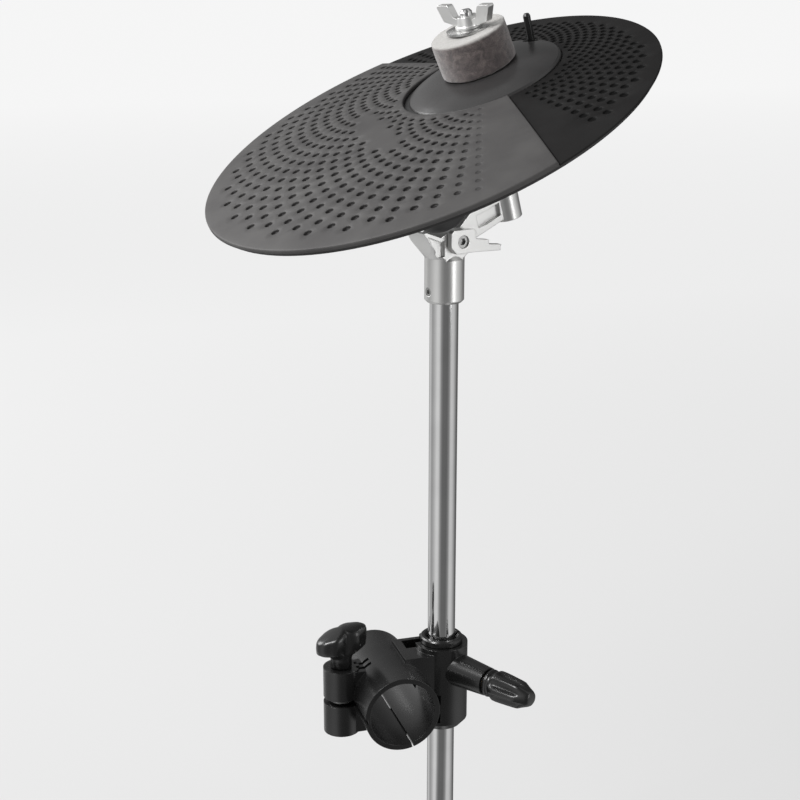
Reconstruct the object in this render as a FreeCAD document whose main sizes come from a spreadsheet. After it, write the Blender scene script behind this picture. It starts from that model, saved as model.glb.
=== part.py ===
import FreeCAD, Part
import math
import os
import Sketcher

# Electronic cymbal practice pad on a tilting arm, a chrome rod and a rack-tube clamp.
# Frame: the origin is the middle of the rack tube's bore. +Y runs along that tube, +X points
# from the tube to the rod, and +Z runs up the rod. Lengths are in millimetres.

UP = FreeCAD.Vector(0, 0, 1)
ALONG_X = FreeCAD.Vector(1, 0, 0)
ALONG_Y = FreeCAD.Vector(0, 1, 0)
AWAY = -1.0

doc = FreeCAD.newDocument("cymbal_pad")
sheet = doc.addObject("Spreadsheet::Sheet", "Dimensions")


# ---------------------------------------------------------------- sizes and small helpers
class Size:
    """A number together with the spreadsheet expression that it comes from."""

    def __init__(self, value, text):
        self.value = float(value)
        self.text = text

    def __float__(self):
        return self.value

    def __add__(self, other):
        other = as_size(other)
        return Size(self.value + other.value, "(%s + %s)" % (self.text, other.text))

    def __sub__(self, other):
        other = as_size(other)
        return Size(self.value - other.value, "(%s - %s)" % (self.text, other.text))

    def __mul__(self, other):
        other = as_size(other)
        return Size(self.value * other.value, "(%s * %s)" % (self.text, other.text))

    def __truediv__(self, other):
        other = as_size(other)
        return Size(self.value / other.value, "(%s / %s)" % (self.text, other.text))

    def __neg__(self):
        return Size(-self.value, "(0 - %s)" % self.text)

    def __radd__(self, other):
        return as_size(other) + self

    def __rsub__(self, other):
        return as_size(other) - self

    def __rmul__(self, other):
        return as_size(other) * self


def as_size(number):
    if isinstance(number, Size):
        return number
    return Size(number, "%.6g" % number if number >= 0 else "(0 - %.6g)" % -number)


row_count = 0


def cell(alias, value, note):
    """Write one driving dimension into the sheet and return it as a Size."""
    global row_count
    row_count += 1
    sheet.set("A%d" % row_count, note)
    sheet.set("B%d" % row_count, "%g" % value)
    sheet.setAlias("B%d" % row_count, alias)
    return Size(value, "Dimensions.%s" % alias)


def bind(item, **sizes):
    for prop, size in sizes.items():
        setattr(item, prop, float(size))
        if isinstance(size, Size):
            item.setExpression(prop, size.text)
    return item


def place(item, base=(0, 0, 0), direction=UP, spin=0.0):
    """Stand an item at base with its own Z along direction, after turning it by spin about Z."""
    turn = FreeCAD.Rotation(UP, direction).multiply(FreeCAD.Rotation(UP, spin))
    item.Placement = FreeCAD.Placement(FreeCAD.Vector(*[float(v) for v in base]), turn)
    for axis, value in zip("xyz", base):
        if isinstance(value, Size):
            item.setExpression("Placement.Base." + axis, value.text)
    return item


def cylinder(name, radius, height, base=(0, 0, 0), direction=UP):
    item = doc.addObject("Part::Cylinder", name)
    return place(bind(item, Radius=radius, Height=height), base, direction)


def cone(name, radius_1, radius_2, height, base=(0, 0, 0), direction=UP):
    item = doc.addObject("Part::Cone", name)
    return place(bind(item, Radius1=radius_1, Radius2=radius_2, Height=height), base, direction)


def box(name, size, corner, direction=UP, spin=0.0):
    item = doc.addObject("Part::Box", name)
    return place(bind(item, Length=size[0], Width=size[1], Height=size[2]), corner, direction, spin)


def ball(name, radius, centre):
    item = doc.addObject("Part::Sphere", name)
    return place(bind(item, Radius=radius), centre)


def prism(name, sides, radius, height, base=(0, 0, 0), direction=UP, spin=0.0):
    item = doc.addObject("Part::Prism", name)
    item.Polygon = sides
    return place(bind(item, Circumradius=radius, Height=height), base, direction, spin)


def fuse(name, *pieces):
    item = doc.addObject("Part::MultiFuse", name)
    item.Shapes = list(pieces)
    return item


def cut(name, base, *tools):
    item = doc.addObject("Part::Cut", name)
    item.Base = base
    item.Tool = tools[0] if len(tools) == 1 else fuse(name + "_tools", *tools)
    return item


def common(name, *pieces):
    item = doc.addObject("Part::MultiCommon", name)
    item.Shapes = list(pieces)
    return item


def group(name, *pieces):
    item = doc.addObject("Part::Compound", name)
    item.Links = list(pieces)
    return item


def origin_plane(body, role):
    return [feature for feature in body.Origin.OriginFeatures if feature.Role == role][0]


def outline(body, role, points):
    """Draw a closed outline on one of the body's own planes.

    A point is (x, y) for a straight run to the next point, or (x, y, radius) for an arc of that
    radius, which bulges to the left of the run if the radius is negative.
    """
    sketch = body.newObject("Sketcher::SketchObject", body.Name + "_sketch")
    sketch.AttachmentSupport = [(origin_plane(body, role), "")]
    sketch.MapMode = "FlatFace"
    spots = [FreeCAD.Vector(float(p[0]), float(p[1]), 0) for p in points]
    count = len(points)
    near_end = []
    for index, point in enumerate(points):
        start = spots[index]
        stop = spots[(index + 1) % count]
        backwards = len(point) == 3 and float(point[2]) < 0
        near_end.append(2 if backwards else 1)
        if len(point) == 3:
            sketch.addGeometry(arc_between(start, stop, float(point[2])), False)
        else:
            sketch.addGeometry(Part.LineSegment(start, stop), False)
    for index in range(count):
        following = (index + 1) % count
        far = 3 - near_end[index]
        rule = Sketcher.Constraint("Coincident", index, far, following, near_end[following])
        sketch.addConstraint(rule)
    for index, point in enumerate(points):
        near = near_end[index]
        for kind, value in (("DistanceX", point[0]), ("DistanceY", point[1])):
            rule = Sketcher.Constraint(kind, -1, 1, index, near, float(value))
            number = sketch.addConstraint(rule)
            if isinstance(value, Size):
                sketch.setExpression("Constraints[%d]" % number, value.text)
        if len(point) == 3:
            rule = Sketcher.Constraint("Radius", index, abs(float(point[2])))
            number = sketch.addConstraint(rule)
            if isinstance(point[2], Size):
                size = point[2] if float(point[2]) > 0 else -point[2]
                sketch.setExpression("Constraints[%d]" % number, size.text)
    return sketch


def arc_between(start, stop, radius):
    """The short arc from start to stop, counter-clockwise if radius is positive."""
    if radius < 0:
        start, stop = stop, start
    chord = stop.sub(start)
    reach = math.sqrt(max(radius * radius - chord.Length ** 2 / 4, 0.0))
    side = FreeCAD.Vector(-chord.y, chord.x, 0).normalize()
    centre = start.add(stop).multiply(0.5).add(side.multiply(reach))
    first = math.atan2(start.y - centre.y, start.x - centre.x)
    last = math.atan2(stop.y - centre.y, stop.x - centre.x)
    if last < first:
        last += 2 * math.pi
    return Part.ArcOfCircle(Part.Circle(centre, UP, abs(radius)), first, last)


def revolved(name, points):
    """Turn an outline of (radius, height) points about Z."""
    body = doc.addObject("PartDesign::Body", name)
    sketch = outline(body, "XZ_Plane", points)
    turned = body.newObject("PartDesign::Revolution", name + "_turned")
    turned.Profile = sketch
    turned.ReferenceAxis = (sketch, ["V_Axis"])
    turned.Angle = 360.0
    body.Tip = turned
    return body


def extruded(name, points, depth, role="XZ_Plane"):
    """Raise an outline evenly to both sides of its plane."""
    body = doc.addObject("PartDesign::Body", name)
    sketch = outline(body, role, points)
    pad = body.newObject("PartDesign::Pad", name + "_pad")
    pad.Profile = sketch
    pad.Midplane = True
    bind(pad, Length=depth)
    body.Tip = pad
    return body


sub_parts = []


def finish(name, item, frame=FreeCAD.Placement()):
    """Make the item a sub-part: name it and stand it in its frame."""
    if not item.Placement.isIdentity():
        item = group(name + "_placed", item)
    item.Placement = frame
    item.Label = name
    sub_parts.append(item)
    return item


# ---------------------------------------------------------------- driving dimensions
rod_radius = cell("rod_radius", 8.0, "chrome rod, outside radius")
rod_wall = cell("rod_wall", 1.5, "chrome rod, wall")
rod_offset = cell("rod_offset", 34.0, "rack tube axis to rod axis")
rod_length = cell("rod_length", 400.0, "chrome rod, length")
socket_height = cell("socket_height", 230.0, "rack tube axis to the tilter socket's lower rim")
socket_depth = cell("socket_depth", 17.0, "depth that the rod goes into the socket")
run_gap = cell("run_gap", 0.05, "radial clearance of a running fit")
loose_gap = cell("loose_gap", 0.3, "gap between neighbours that move")

tube_radius = cell("tube_radius", 19.05, "rack tube bore radius, for a 38.1 mm tube")
ring_radius = cell("ring_radius", 22.0, "clamp ring, outside radius")
clamp_length = cell("clamp_length", 68.0, "clamp length along the rack tube")
barrel_radius = cell("barrel_radius", 15.5, "rod barrel, outside radius")
barrel_half = cell("barrel_half", 26.0, "rod barrel, half height")
bush_radius = cell("bush_radius", 10.4, "rod bush, outside radius")
ear_offset = cell("ear_offset", 27.0, "rack tube axis to the pinch bolt")
ear_radius = cell("ear_radius", 10.5, "pinch ear, radius")
lip_wall = cell("lip_wall", 1.4, "thin lip that covers the gap between the ring halves")
lip_depth = cell("lip_depth", 6.0, "how far that lip reaches past the gap")
ear_gap = cell("ear_gap", 3.6, "gap between the two pinch ears")
pinch_radius = cell("pinch_radius", 3.0, "pinch bolt radius")
hinge_across = cell("hinge_across", 13.2, "jaw hinge pin, distance across from the tube axis")
hinge_down = cell("hinge_down", 20.8, "jaw hinge pin, distance below the tube axis")
hinge_radius = cell("hinge_radius", 2.2, "jaw hinge pin radius")
knuckle_radius = cell("knuckle_radius", 4.0, "jaw hinge knuckle radius")
knuckle_half = cell("knuckle_half", 14.0, "half length of the jaw's own knuckle")
hinge_half = cell("hinge_half", 24.0, "half length of the whole jaw hinge")
clamp_bolt_height = cell("clamp_bolt_height", 11.5, "rod clamp bolt above the tube axis")
clamp_bolt_radius = cell("clamp_bolt_radius", 3.9, "rod clamp bolt radius")

boss_length = cell("boss_length", 36.0, "rod knob boss, from the rod axis to its end")
knob_turn = cell("knob_turn", -60.0, "rod knob axis, degrees round the rod")
head_turn = cell("head_turn", 16.8, "tilter head, degrees round the rod")
pad_lean = cell("pad_lean", 25.03, "pad disc from level, degrees")
rod_lean = cell("rod_lean", 15.5, "threaded cymbal rod from upright, degrees")

socket_radius = cell("socket_radius", 11.0, "tilter socket, outside radius")
pivot_across = cell("pivot_across", 3.0, "tilt pivot, uphill of the rod axis")
pivot_height = cell("pivot_height", 34.6, "tilt pivot above the socket's lower rim")
pivot_radius = cell("pivot_radius", 3.0, "tilt pivot bolt radius")
arm_width = cell("arm_width", 9.6, "tilter arm, width between the cheeks")
cheek_width = cell("cheek_width", 4.4, "one cheek of the tilter fork")
stem_radius = cell("stem_radius", 3.2, "threaded cymbal rod radius")

pad_radius = cell("pad_radius", 127.0, "pad disc radius, a 10 inch pad")
pad_offset = cell("pad_offset", 43.3, "mount hole to the disc's centre")
dome_radius = cell("dome_radius", 1350.0, "radius of the pad's shallow dome")
dome_crown = cell("dome_crown", 4.3, "top of the base plate above the rim plane, at the centre")
base_wall = cell("base_wall", 1.8, "base plate thickness")
play_skin = cell("play_skin", 2.4, "playing skin thickness")
rear_skin = cell("rear_skin", 0.9, "rear skin thickness")
bell_radius = cell("bell_radius", 43.0, "bell, outside radius")
bell_top = cell("bell_top", 10.5, "bell's flat top above the rim plane")
nut_turn = cell("nut_turn", -82.0, "turn of the wing nut about its rod, degrees")
felt_radius = cell("felt_radius", 21.0, "upper felt radius")
felt_height = cell("felt_height", 21.6, "upper felt height")
housing_x = cell("housing_x", -75.5, "sensor housing centre, downhill of the mount hole")
housing_y = cell("housing_y", -37.0, "sensor housing centre, to the side of the mount hole")
housing_depth = cell("housing_depth", 37.0, "sensor housing, depth below the rim plane")
jack_level = cell("jack_level", -15.0, "jack axis, above the rim plane")
pin_across = cell("pin_across", 38.5, "anti-rotation pin to the cymbal rod")
felt_centre = cell("felt_centre", 21.44, "middle of the upper felt above the rim plane")
mount_across = cell("mount_across", 26.7, "rod axis to the mount hole, uphill")
mount_height = cell("mount_height", 115.9, "mount hole above the socket's lower rim")
doc.recompute()


def turn_about(axis, degrees):
    return FreeCAD.Placement(FreeCAD.Vector(0, 0, 0), FreeCAD.Rotation(axis, float(degrees)))


def shift(across, side, height):
    return FreeCAD.Placement(FreeCAD.Vector(float(across), float(side), float(height)), FreeCAD.Rotation())


# The head frame has its origin on the rod axis at the socket's rim, with +X uphill. The pad frame
# has its origin where the mount axis meets the rim plane. The stem frame has its origin in the
# middle of the upper felt and its Z along the threaded cymbal rod.
head = shift(rod_offset, 0, socket_height).multiply(turn_about(UP, head_turn))
pad = head.multiply(shift(mount_across, 0, mount_height)).multiply(turn_about(ALONG_Y, -pad_lean))
felt_middle = pad.multVec(FreeCAD.Vector(0, 0, felt_centre))
stem_in_pad = shift(0, 0, felt_centre).multiply(turn_about(ALONG_Y, pad_lean - rod_lean))
stem = pad.multiply(stem_in_pad)


# ---------------------------------------------------------------- rack clamp
def jaw_region(name, top, slack):
    """The wedge under the height top that belongs to the jaw, with slack on its hinge side."""
    lean = math.radians(285.0)
    reach = 60.0
    points = [
        (-reach, top),
        (1.0 + slack, top),
        (reach * math.cos(lean) + slack, reach * math.sin(lean)),
        (-reach, reach * math.sin(lean)),
    ]
    return extruded(name, points, clamp_length + 20)


def along_tube(name, radius, length):
    return cylinder(name, radius, length, (0, length / 2, 0), ALONG_Y * AWAY)


def hinge_stub(name, radius, low, high):
    return cylinder(name, radius, high - low, (hinge_across, high, -hinge_down), ALONG_Y * AWAY)


def ear(name, low, high):
    boss = cylinder(name + "_boss", ear_radius, high - low, (-ear_offset, 0, low))
    bridge = box(name + "_bridge", (ear_offset - 8, 17, high - low - 2), (-ear_offset, -8.5, low + 1))
    return fuse(name, boss, bridge)


def clamp_body():
    ring = along_tube("body_ring", ring_radius, clamp_length)
    barrel = cylinder("body_barrel", barrel_radius, barrel_half * 2 - 4, (rod_offset, 0, 4 - barrel_half))
    foot = cone("body_foot", barrel_radius - 3.5, barrel_radius, 4, (rod_offset, 0, -barrel_half))
    web = box("body_web", (rod_offset - 8, 28, 41), (8, -13, -18))
    knob_way = FreeCAD.Vector(math.cos(math.radians(knob_turn)), math.sin(math.radians(knob_turn)), 0)
    boss = cone("body_boss", 10.5, 8.2, boss_length, (rod_offset, 0, clamp_bolt_height), knob_way)
    upper = ear("body_ear", as_size(0), as_size(18))
    half = hinge_half
    stub_1 = hinge_stub("body_knuckle_1", knuckle_radius, knuckle_half + 0.4, half)
    stub_2 = hinge_stub("body_knuckle_2", knuckle_radius, -half, -knuckle_half - 0.4)
    arm_1 = box("body_knuckle_arm_1", (5, half - knuckle_half - 0.4, 6), (11, knuckle_half + 0.4, -20.8))
    arm_2 = box("body_knuckle_arm_2", (5, half - knuckle_half - 0.4, 6), (11, -half, -20.8))
    solid = fuse("body_solid", ring, barrel, foot, web, boss, upper, stub_1, stub_2, arm_1, arm_2)
    lip_round = along_tube("body_lip_round", tube_radius + lip_wall, clamp_length)
    lip_size = (6, clamp_length, lip_depth + 0.2)
    lip_room = box("body_lip_room", lip_size, (-21.5, -clamp_length / 2, -lip_depth))
    washer_room = cylinder("body_washer_room", as_size(7.8), lip_depth + 2, (-ear_offset, 0, -lip_depth - 1))
    lip = cut("body_lip", common("body_lip_strip", lip_round, lip_room), washer_room)
    solid = fuse("body_lipped", cut("body_open", solid, jaw_region("jaw_room", 0.0, 0.22)), lip)
    tools = [along_tube("body_tube_bore", tube_radius, clamp_length + 10)]
    tools.append(cylinder("body_rod_bore", bush_radius + run_gap, 80, (rod_offset, 0, -40)))
    bolt_root = (rod_offset, 0, clamp_bolt_height)
    tools.append(cylinder("body_bolt_hole", clamp_bolt_radius + 0.1, 60, bolt_root, knob_way))
    seat = (rod_offset + knob_way.x * 21, as_size(knob_way.y * 21), clamp_bolt_height)
    tools.append(cylinder("body_insert_seat", as_size(6.0), 20, seat, knob_way))
    tools.append(cylinder("body_pinch_hole", pinch_radius + 0.1, 40, (-ear_offset, 0, -5)))
    tools.append(hinge_stub("body_pin_hole", hinge_radius, -half - 1, half + 1))
    room_half = knuckle_half + 0.4
    tools.append(hinge_stub("body_knuckle_room", knuckle_radius + 0.4, -room_half, room_half))
    tools.append(box("body_pocket", (15, 10.5, 30), (13, 1.5, -4)))
    for number, low in enumerate((-5.0, 0.5)):
        tools.append(box("body_slot_%d" % number, (9, 2.6, 8), (-19, low, 14.5)))
    for number, low in enumerate((-20.0, -8.0)):
        tools.append(box("body_side_groove_%d" % number, (10, 6, 6), (19, -16, low)))
    finish("clamp_body", cut("clamp_body", solid, *tools))


def clamp_jaw():
    ring = along_tube("jaw_ring", ring_radius, clamp_length)
    sector = common("jaw_sector", ring, jaw_region("jaw_region", -ear_gap, 0.0))
    lower = ear("jaw_ear", as_size(-22), -ear_gap)
    knuckle = hinge_stub("jaw_knuckle", knuckle_radius, -knuckle_half, knuckle_half)
    link = box("jaw_link", (10.2, knuckle_half * 2, 3.4), (3, -knuckle_half, -24.8))
    solid = fuse("jaw_solid", sector, lower, knuckle, link)
    tools = [along_tube("jaw_tube_bore", tube_radius, clamp_length + 10)]
    rebate_round = along_tube("jaw_rebate_round", tube_radius + lip_wall + 0.3, clamp_length + 10)
    rebate_corner = (-22, -clamp_length / 2 - 5, -lip_depth - 0.4)
    rebate_room = box("jaw_rebate_room", (7, clamp_length + 10, 8), rebate_corner)
    tools.append(common("jaw_rebate", rebate_round, rebate_room))
    tools.append(hinge_stub("jaw_pin_hole", hinge_radius + run_gap, -knuckle_half - 1, knuckle_half + 1))
    tools.append(cylinder("jaw_bolt_hole", pinch_radius + 2.2, 24, (-ear_offset, 0, -20)))
    tools.append(prism("jaw_nut_pocket", 6, as_size(7.0), 5, (-ear_offset, 0, -17)))
    finish("clamp_jaw", cut("clamp_jaw", solid, *tools))


def clamp_hardware():
    half = hinge_half
    finish("jaw_hinge_pin", hinge_stub("hinge_pin_shank", hinge_radius, -half, half))
    nut = prism("pinch_nut_hex", 6, as_size(6.9), 4.8, (-ear_offset, 0, -16.9))
    hole = cylinder("pinch_nut_hole", pinch_radius + 1.8, 10, (-ear_offset, 0, -18))
    finish("pinch_nut", cut("pinch_nut", nut, hole))
    disc = cylinder("pinch_washer_disc", as_size(7.4), 2.2, (-ear_offset, 0, -2.4))
    bore = cylinder("pinch_washer_bore", pinch_radius + 0.1, 10, (-ear_offset, 0, -6))
    finish("pinch_washer", cut("pinch_washer", disc, bore))
    finish("pinch_bolt", cylinder("pinch_shank", pinch_radius, 41, (-ear_offset, 0, -19)))


def pinch_knob():
    """A wing knob: a neck, a hub and two broad wings with a curved crest."""
    neck = cylinder("pinch_neck", as_size(6.2), 8, (0, 0, 18.3))
    hub = cone("pinch_hub", 6.2, 9.0, 14, (0, 0, 25))
    crest = [(-14.5, 28), (-14.5, 36), (12.5, 44.5, -60), (14.5, 43), (13, 32), (8, 27), (-8, 25)]
    wings = extruded("pinch_wings", crest, as_size(11.0))
    solid = fuse("pinch_solid", neck, hub, wings)
    bore = cylinder("pinch_knob_bore", pinch_radius, 5, (0, 0, 17))
    knob = cut("pinch_knob", solid, bore)
    finish("pinch_knob", knob, shift(-ear_offset, 0, 0).multiply(turn_about(UP, 12.0)))


def rod_knob():
    """The knob, its bolt and the threaded insert lie along an axis that leaves the barrel."""
    frame = shift(rod_offset, 0, clamp_bolt_height)
    frame = frame.multiply(turn_about(UP, knob_turn)).multiply(turn_about(ALONG_Y, 90.0))
    bolt = cylinder("rod_clamp_shank", clamp_bolt_radius, 40.2, (0, 0, bush_radius + 0.4))
    finish("rod_clamp_bolt", bolt, frame)
    sleeve = cylinder("rod_insert_sleeve", as_size(6.0), 15, (0, 0, 21))
    thread = cylinder("rod_insert_thread", clamp_bolt_radius + run_gap, 20, (0, 0, 19))
    finish("rod_knob_insert", cut("rod_knob_insert", sleeve, thread), frame)
    collar = prism("rod_knob_collar", 6, as_size(8.2), 5, (0, 0, 37))
    grip = cone("rod_knob_grip", 9.2, 6.6, 24, (0, 0, 41))
    tip = cone("rod_knob_tip", 6.6, 4.2, 3, (0, 0, 65))
    solid = fuse("rod_knob_solid", collar, grip, tip)
    tools = [cylinder("rod_knob_bore", clamp_bolt_radius, 15, (0, 0, 36))]
    for number in range(6):
        angle = math.radians(60.0 * number + 30.0)
        spot = (11.2 * math.cos(angle), 11.2 * math.sin(angle), 41)
        lean = FreeCAD.Vector(-math.cos(angle) * 0.05, -math.sin(angle) * 0.05, 1)
        tools.append(cylinder("rod_knob_flute_%d" % number, as_size(3.2), 40, spot, lean))
    finish("rod_knob", cut("rod_knob", solid, *tools), frame)


def rod_bush():
    top = barrel_half + 4
    points = [
        (rod_radius + run_gap, 2 - barrel_half),
        (bush_radius, 2 - barrel_half),
        (bush_radius, barrel_half + 0.3),
        (bush_radius + 2, barrel_half + 0.3),
        (bush_radius + 2, top - 0.8),
        (bush_radius + 1.2, top),
        (bush_radius - 0.4, top),
        (rod_radius + run_gap, top - 3),
    ]
    bush = revolved("bush_turned", points)
    slit = box("bush_slit", (20, 1.6, 80), (0, -0.8, -40))
    finish("rod_bush", cut("rod_bush", bush, slit), shift(rod_offset, 0, 0))


# ---------------------------------------------------------------- rod and tilter
def rod():
    top = socket_height + socket_depth
    foot = top - rod_length
    tube = cylinder("rod_tube", rod_radius, rod_length, (rod_offset, 0, foot))
    bore = cylinder("rod_bore", rod_radius - rod_wall, rod_length + 2, (rod_offset, 0, foot - 1))
    finish("stand_rod", cut("stand_rod", tube, bore))
    inner = rod_radius - rod_wall
    points = [
        (0, -4.0),
        (rod_radius - 2, -4.0),
        (rod_radius, -2.0),
        (rod_radius, 0),
        (inner, 0),
        (inner, 10),
        (inner - 1.6, 10),
        (inner - 1.6, 1.0),
        (0, 1.0),
    ]
    finish("rod_end_cap", revolved("rod_end_cap", points), shift(rod_offset, 0, foot))


def pivot_bar(name, radius, length, start):
    """A round bar along the tilter's pivot axis."""
    return cylinder(name, radius, length, (pivot_across, start, pivot_height), ALONG_Y * AWAY)


def tilter_base():
    """A socket for the rod that flares into a horn on one side and a two-cheek fork."""
    points = [
        (rod_radius + run_gap, 0),
        (socket_radius - 1.4, 0),
        (socket_radius, 1.4),
        (socket_radius, 24),
        (socket_radius - 2.5, 28),
        (0, 28),
        (0, socket_depth),
        (rod_radius + run_gap, socket_depth),
    ]
    socket = revolved("base_socket", points)
    width = arm_width + 0.4 + cheek_width * 2
    horn = [
        (-10.6, 21),
        (-13, 28, 40),
        (-20.4, 40.6),
        (-18.5, 40.9),
        (-9, 37.4, -30),
        (-2.5, 40.4),
        (6, 41.2),
        (10.6, 38),
        (10.9, 31),
        (9.4, 24),
        (9, 21),
    ]
    block = extruded("base_block", horn, width)
    flare = [(0, 15), (socket_radius, 15), (socket_radius, 25), (25, 42), (25, 52), (0, 52)]
    yoke = common("base_yoke", block, revolved("base_flare", flare))
    solid = fuse("base_solid", socket, yoke)
    slot = box("base_slot", (40, arm_width + 0.4, 30), (-5.2, -(arm_width + 0.4) / 2, 26.6))
    pivot = pivot_bar("base_pivot_hole", pivot_radius + run_gap, 40, 20)
    screw = cylinder("base_screw_hole", as_size(2.5), 14, (0, 0, 6.5), ALONG_X * AWAY)
    hollow = [(-12.2, 30), (-17.6, 38.6), (-9, 35), (-6.5, 35.8), (-6.5, 27), (-10.5, 26)]
    front = extruded("base_front_hollow", hollow, as_size(5.0))
    front.Placement = shift(0, -9.6, 0)
    rear = extruded("base_rear_hollow", hollow, as_size(5.0))
    rear.Placement = shift(0, 9.6, 0)
    finish("tilter_base", cut("tilter_base", solid, slot, pivot, screw, front, rear), head)
    grub = cylinder("socket_screw_thread", as_size(2.5), 2.6, (-rod_radius - 0.1, 0, 6.5), ALONG_X * AWAY)
    hexagon = prism("socket_screw_hex", 6, as_size(1.4), 4, (-rod_radius - 1.4, 0, 6.5), ALONG_X * AWAY)
    finish("socket_set_screw", cut("socket_set_screw", grub, hexagon), head)


def pivot_hardware():
    reach = (arm_width + 0.4) / 2 + cheek_width
    shank = pivot_bar("pivot_shank", pivot_radius, reach * 2 + 4.4, reach + 4.2)
    cap = pivot_bar("pivot_cap", as_size(3.5), 3.0, -reach - 0.2)
    recess_root = (pivot_across, -reach - 1.6, pivot_height)
    recess = prism("pivot_recess", 6, as_size(2.0), 4, recess_root, ALONG_Y * AWAY)
    finish("pivot_bolt", cut("pivot_bolt", fuse("pivot_bolt_solid", shank, cap), recess), head)
    nut = prism("pivot_nut_hex", 6, as_size(5.8), 4, (pivot_across, reach + 4, pivot_height), ALONG_Y * AWAY)
    hole = pivot_bar("pivot_nut_hole", pivot_radius, 12, reach + 8)
    finish("pivot_nut", cut("pivot_nut", nut, hole), head)


def lock_lever():
    points = [
        (-5.0, 32.0),
        (-5.0, 39.6),
        (-3.4, 41.2),
        (9.7, 41.2),
        (11.3, 39.6),
        (11.3, 35.6),
        (20, 34.2),
        (20, 31.8),
        (28.6, 30.8, 3),
        (28.2, 27.6),
        (10, 28.4),
        (-1.4, 28.2),
    ]
    plate = extruded("lever_plate", points, as_size(3.8))
    hole = pivot_bar("lever_hole", as_size(3.5) + run_gap, 20, 10)
    reach = float((arm_width + 0.4) / 2 + cheek_width) + 0.3 + 1.9
    finish("tilt_lock_lever", cut("tilt_lock_lever", plate, hole), head.multiply(shift(0, -reach, 0)))


def tilter_arm():
    """An eye on the pivot, a webbed arm and a split-free holder for the threaded rod."""
    eye = pivot_bar("arm_eye", as_size(6.4), arm_width, arm_width / 2)
    edge = [
        (-1.5, 39),
        (5.6, 40.2),
        (14.7, 49.2),
        (25.2, 52.4),
        (38, 58),
        (42, 45),
        (24.1, 37.0),
        (10, 31),
        (2, 29),
    ]
    web = extruded("arm_web", edge, arm_width)
    stem_in_head = head.inverse().multiply(stem)
    holder = cylinder("arm_holder", rod_radius, 33, (0, 0, -96))
    holder_placed = group("arm_holder_placed", holder)
    holder_placed.Placement = stem_in_head
    hollow = [(17.5, 46.2), (25.6, 48.9), (33, 52.2), (34.5, 45.2), (24.4, 40.6), (19.5, 39.4)]
    front = extruded("arm_front_hollow", hollow, as_size(5.0))
    front.Placement = shift(0, -4.8, 0)
    rear = extruded("arm_rear_hollow", hollow, as_size(5.0))
    rear.Placement = shift(0, 4.8, 0)
    pivot = pivot_bar("arm_pivot_hole", pivot_radius + run_gap, 40, 20)
    solid = fuse("arm_solid", eye, web, holder_placed)
    finish("tilter_arm", cut("tilter_arm", solid, front, rear, bore_tool(stem_in_head), pivot), head)


def bore_tool(frame):
    """The rod's blind bore and the set screw's cross hole, in the holder's own frame."""
    bore = cylinder("holder_bore", stem_radius, 40, (0, 0, -94))
    cross = cylinder("holder_cross_hole", as_size(2.5), 14, (0, 0, -72), ALONG_X)
    both = fuse("holder_holes", bore, cross)
    both.Placement = frame
    return both


# ---------------------------------------------------------------- threaded rod and its stack
def cymbal_stem():
    shank = cylinder("stem_shank", stem_radius, 113.6, (0, 0, -94))
    tip = cone("stem_tip", stem_radius, stem_radius - 1.0, 1.2, (0, 0, 19.6))
    finish("cymbal_rod", group("cymbal_rod_group", fuse("cymbal_rod_solid", shank, tip)), stem)
    grub = cylinder("holder_screw_thread", as_size(2.5), 3.4, (stem_radius + 0.1, 0, -72), ALONG_X)
    hexagon = prism("holder_screw_hex", 6, as_size(1.4), 4, (stem_radius + 1.6, 0, -72), ALONG_X)
    finish("holder_set_screw", cut("holder_set_screw", grub, hexagon), stem)


def ring_on_stem(name, radius, low, high, hole):
    disc = cylinder(name + "_disc", radius, high - low, (0, 0, low))
    bore = cylinder(name + "_bore", hole, high - low + 2, (0, 0, low - 1))
    return cut(name, disc, bore)


def stem_stack():
    finish("lower_felt", ring_on_stem("lower_felt", as_size(13.0), -26.0, -17.5, stem_radius + 0.6), stem)
    finish("seat_washer", ring_on_stem("seat_washer", as_size(14.0), -27.8, -26.2, stem_radius + 0.2), stem)
    finish("felt_washer", ring_on_stem("felt_washer", as_size(12.3), 9.6, 11.2, stem_radius + 0.2), stem)
    collar = cylinder("stopper_ring", as_size(9.0), 10, (0, 0, -38))
    arm = box("stopper_arm", (pin_across, 8, 6), (0, -4, -37))
    eye = cylinder("stopper_eye", as_size(4.0), 6, (pin_across, 0, -37))
    solid = fuse("stopper_solid", collar, arm, eye)
    bore = cylinder("stopper_bore", stem_radius, 14, (0, 0, -40))
    seat = cylinder("stopper_pin_seat", as_size(2.0), 10, (pin_across, 0, -38))
    cross = cylinder("stopper_cross_hole", as_size(2.0), 14, (0, 0, -33), ALONG_X * AWAY)
    finish("stopper_collar", cut("stopper_collar", solid, bore, seat, cross), stem)
    grub = cylinder("stopper_grub", as_size(2.0), 4.4, (-stem_radius - 0.1, 0, -33), ALONG_X * AWAY)
    hexagon = prism("stopper_hex", 6, as_size(1.1), 4, (-stem_radius - 2.4, 0, -33), ALONG_X * AWAY)
    finish("stopper_set_screw", cut("stopper_set_screw", grub, hexagon), stem)
    shank = cylinder("pin_shank", as_size(2.0), 43, (pin_across, 0, -37))
    tip = cone("pin_tip", 2.0, 1.3, 1.2, (pin_across, 0, 6))
    finish("stopper_pin", group("stopper_pin_group", fuse("stopper_pin_solid", shank, tip)), stem)


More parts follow.
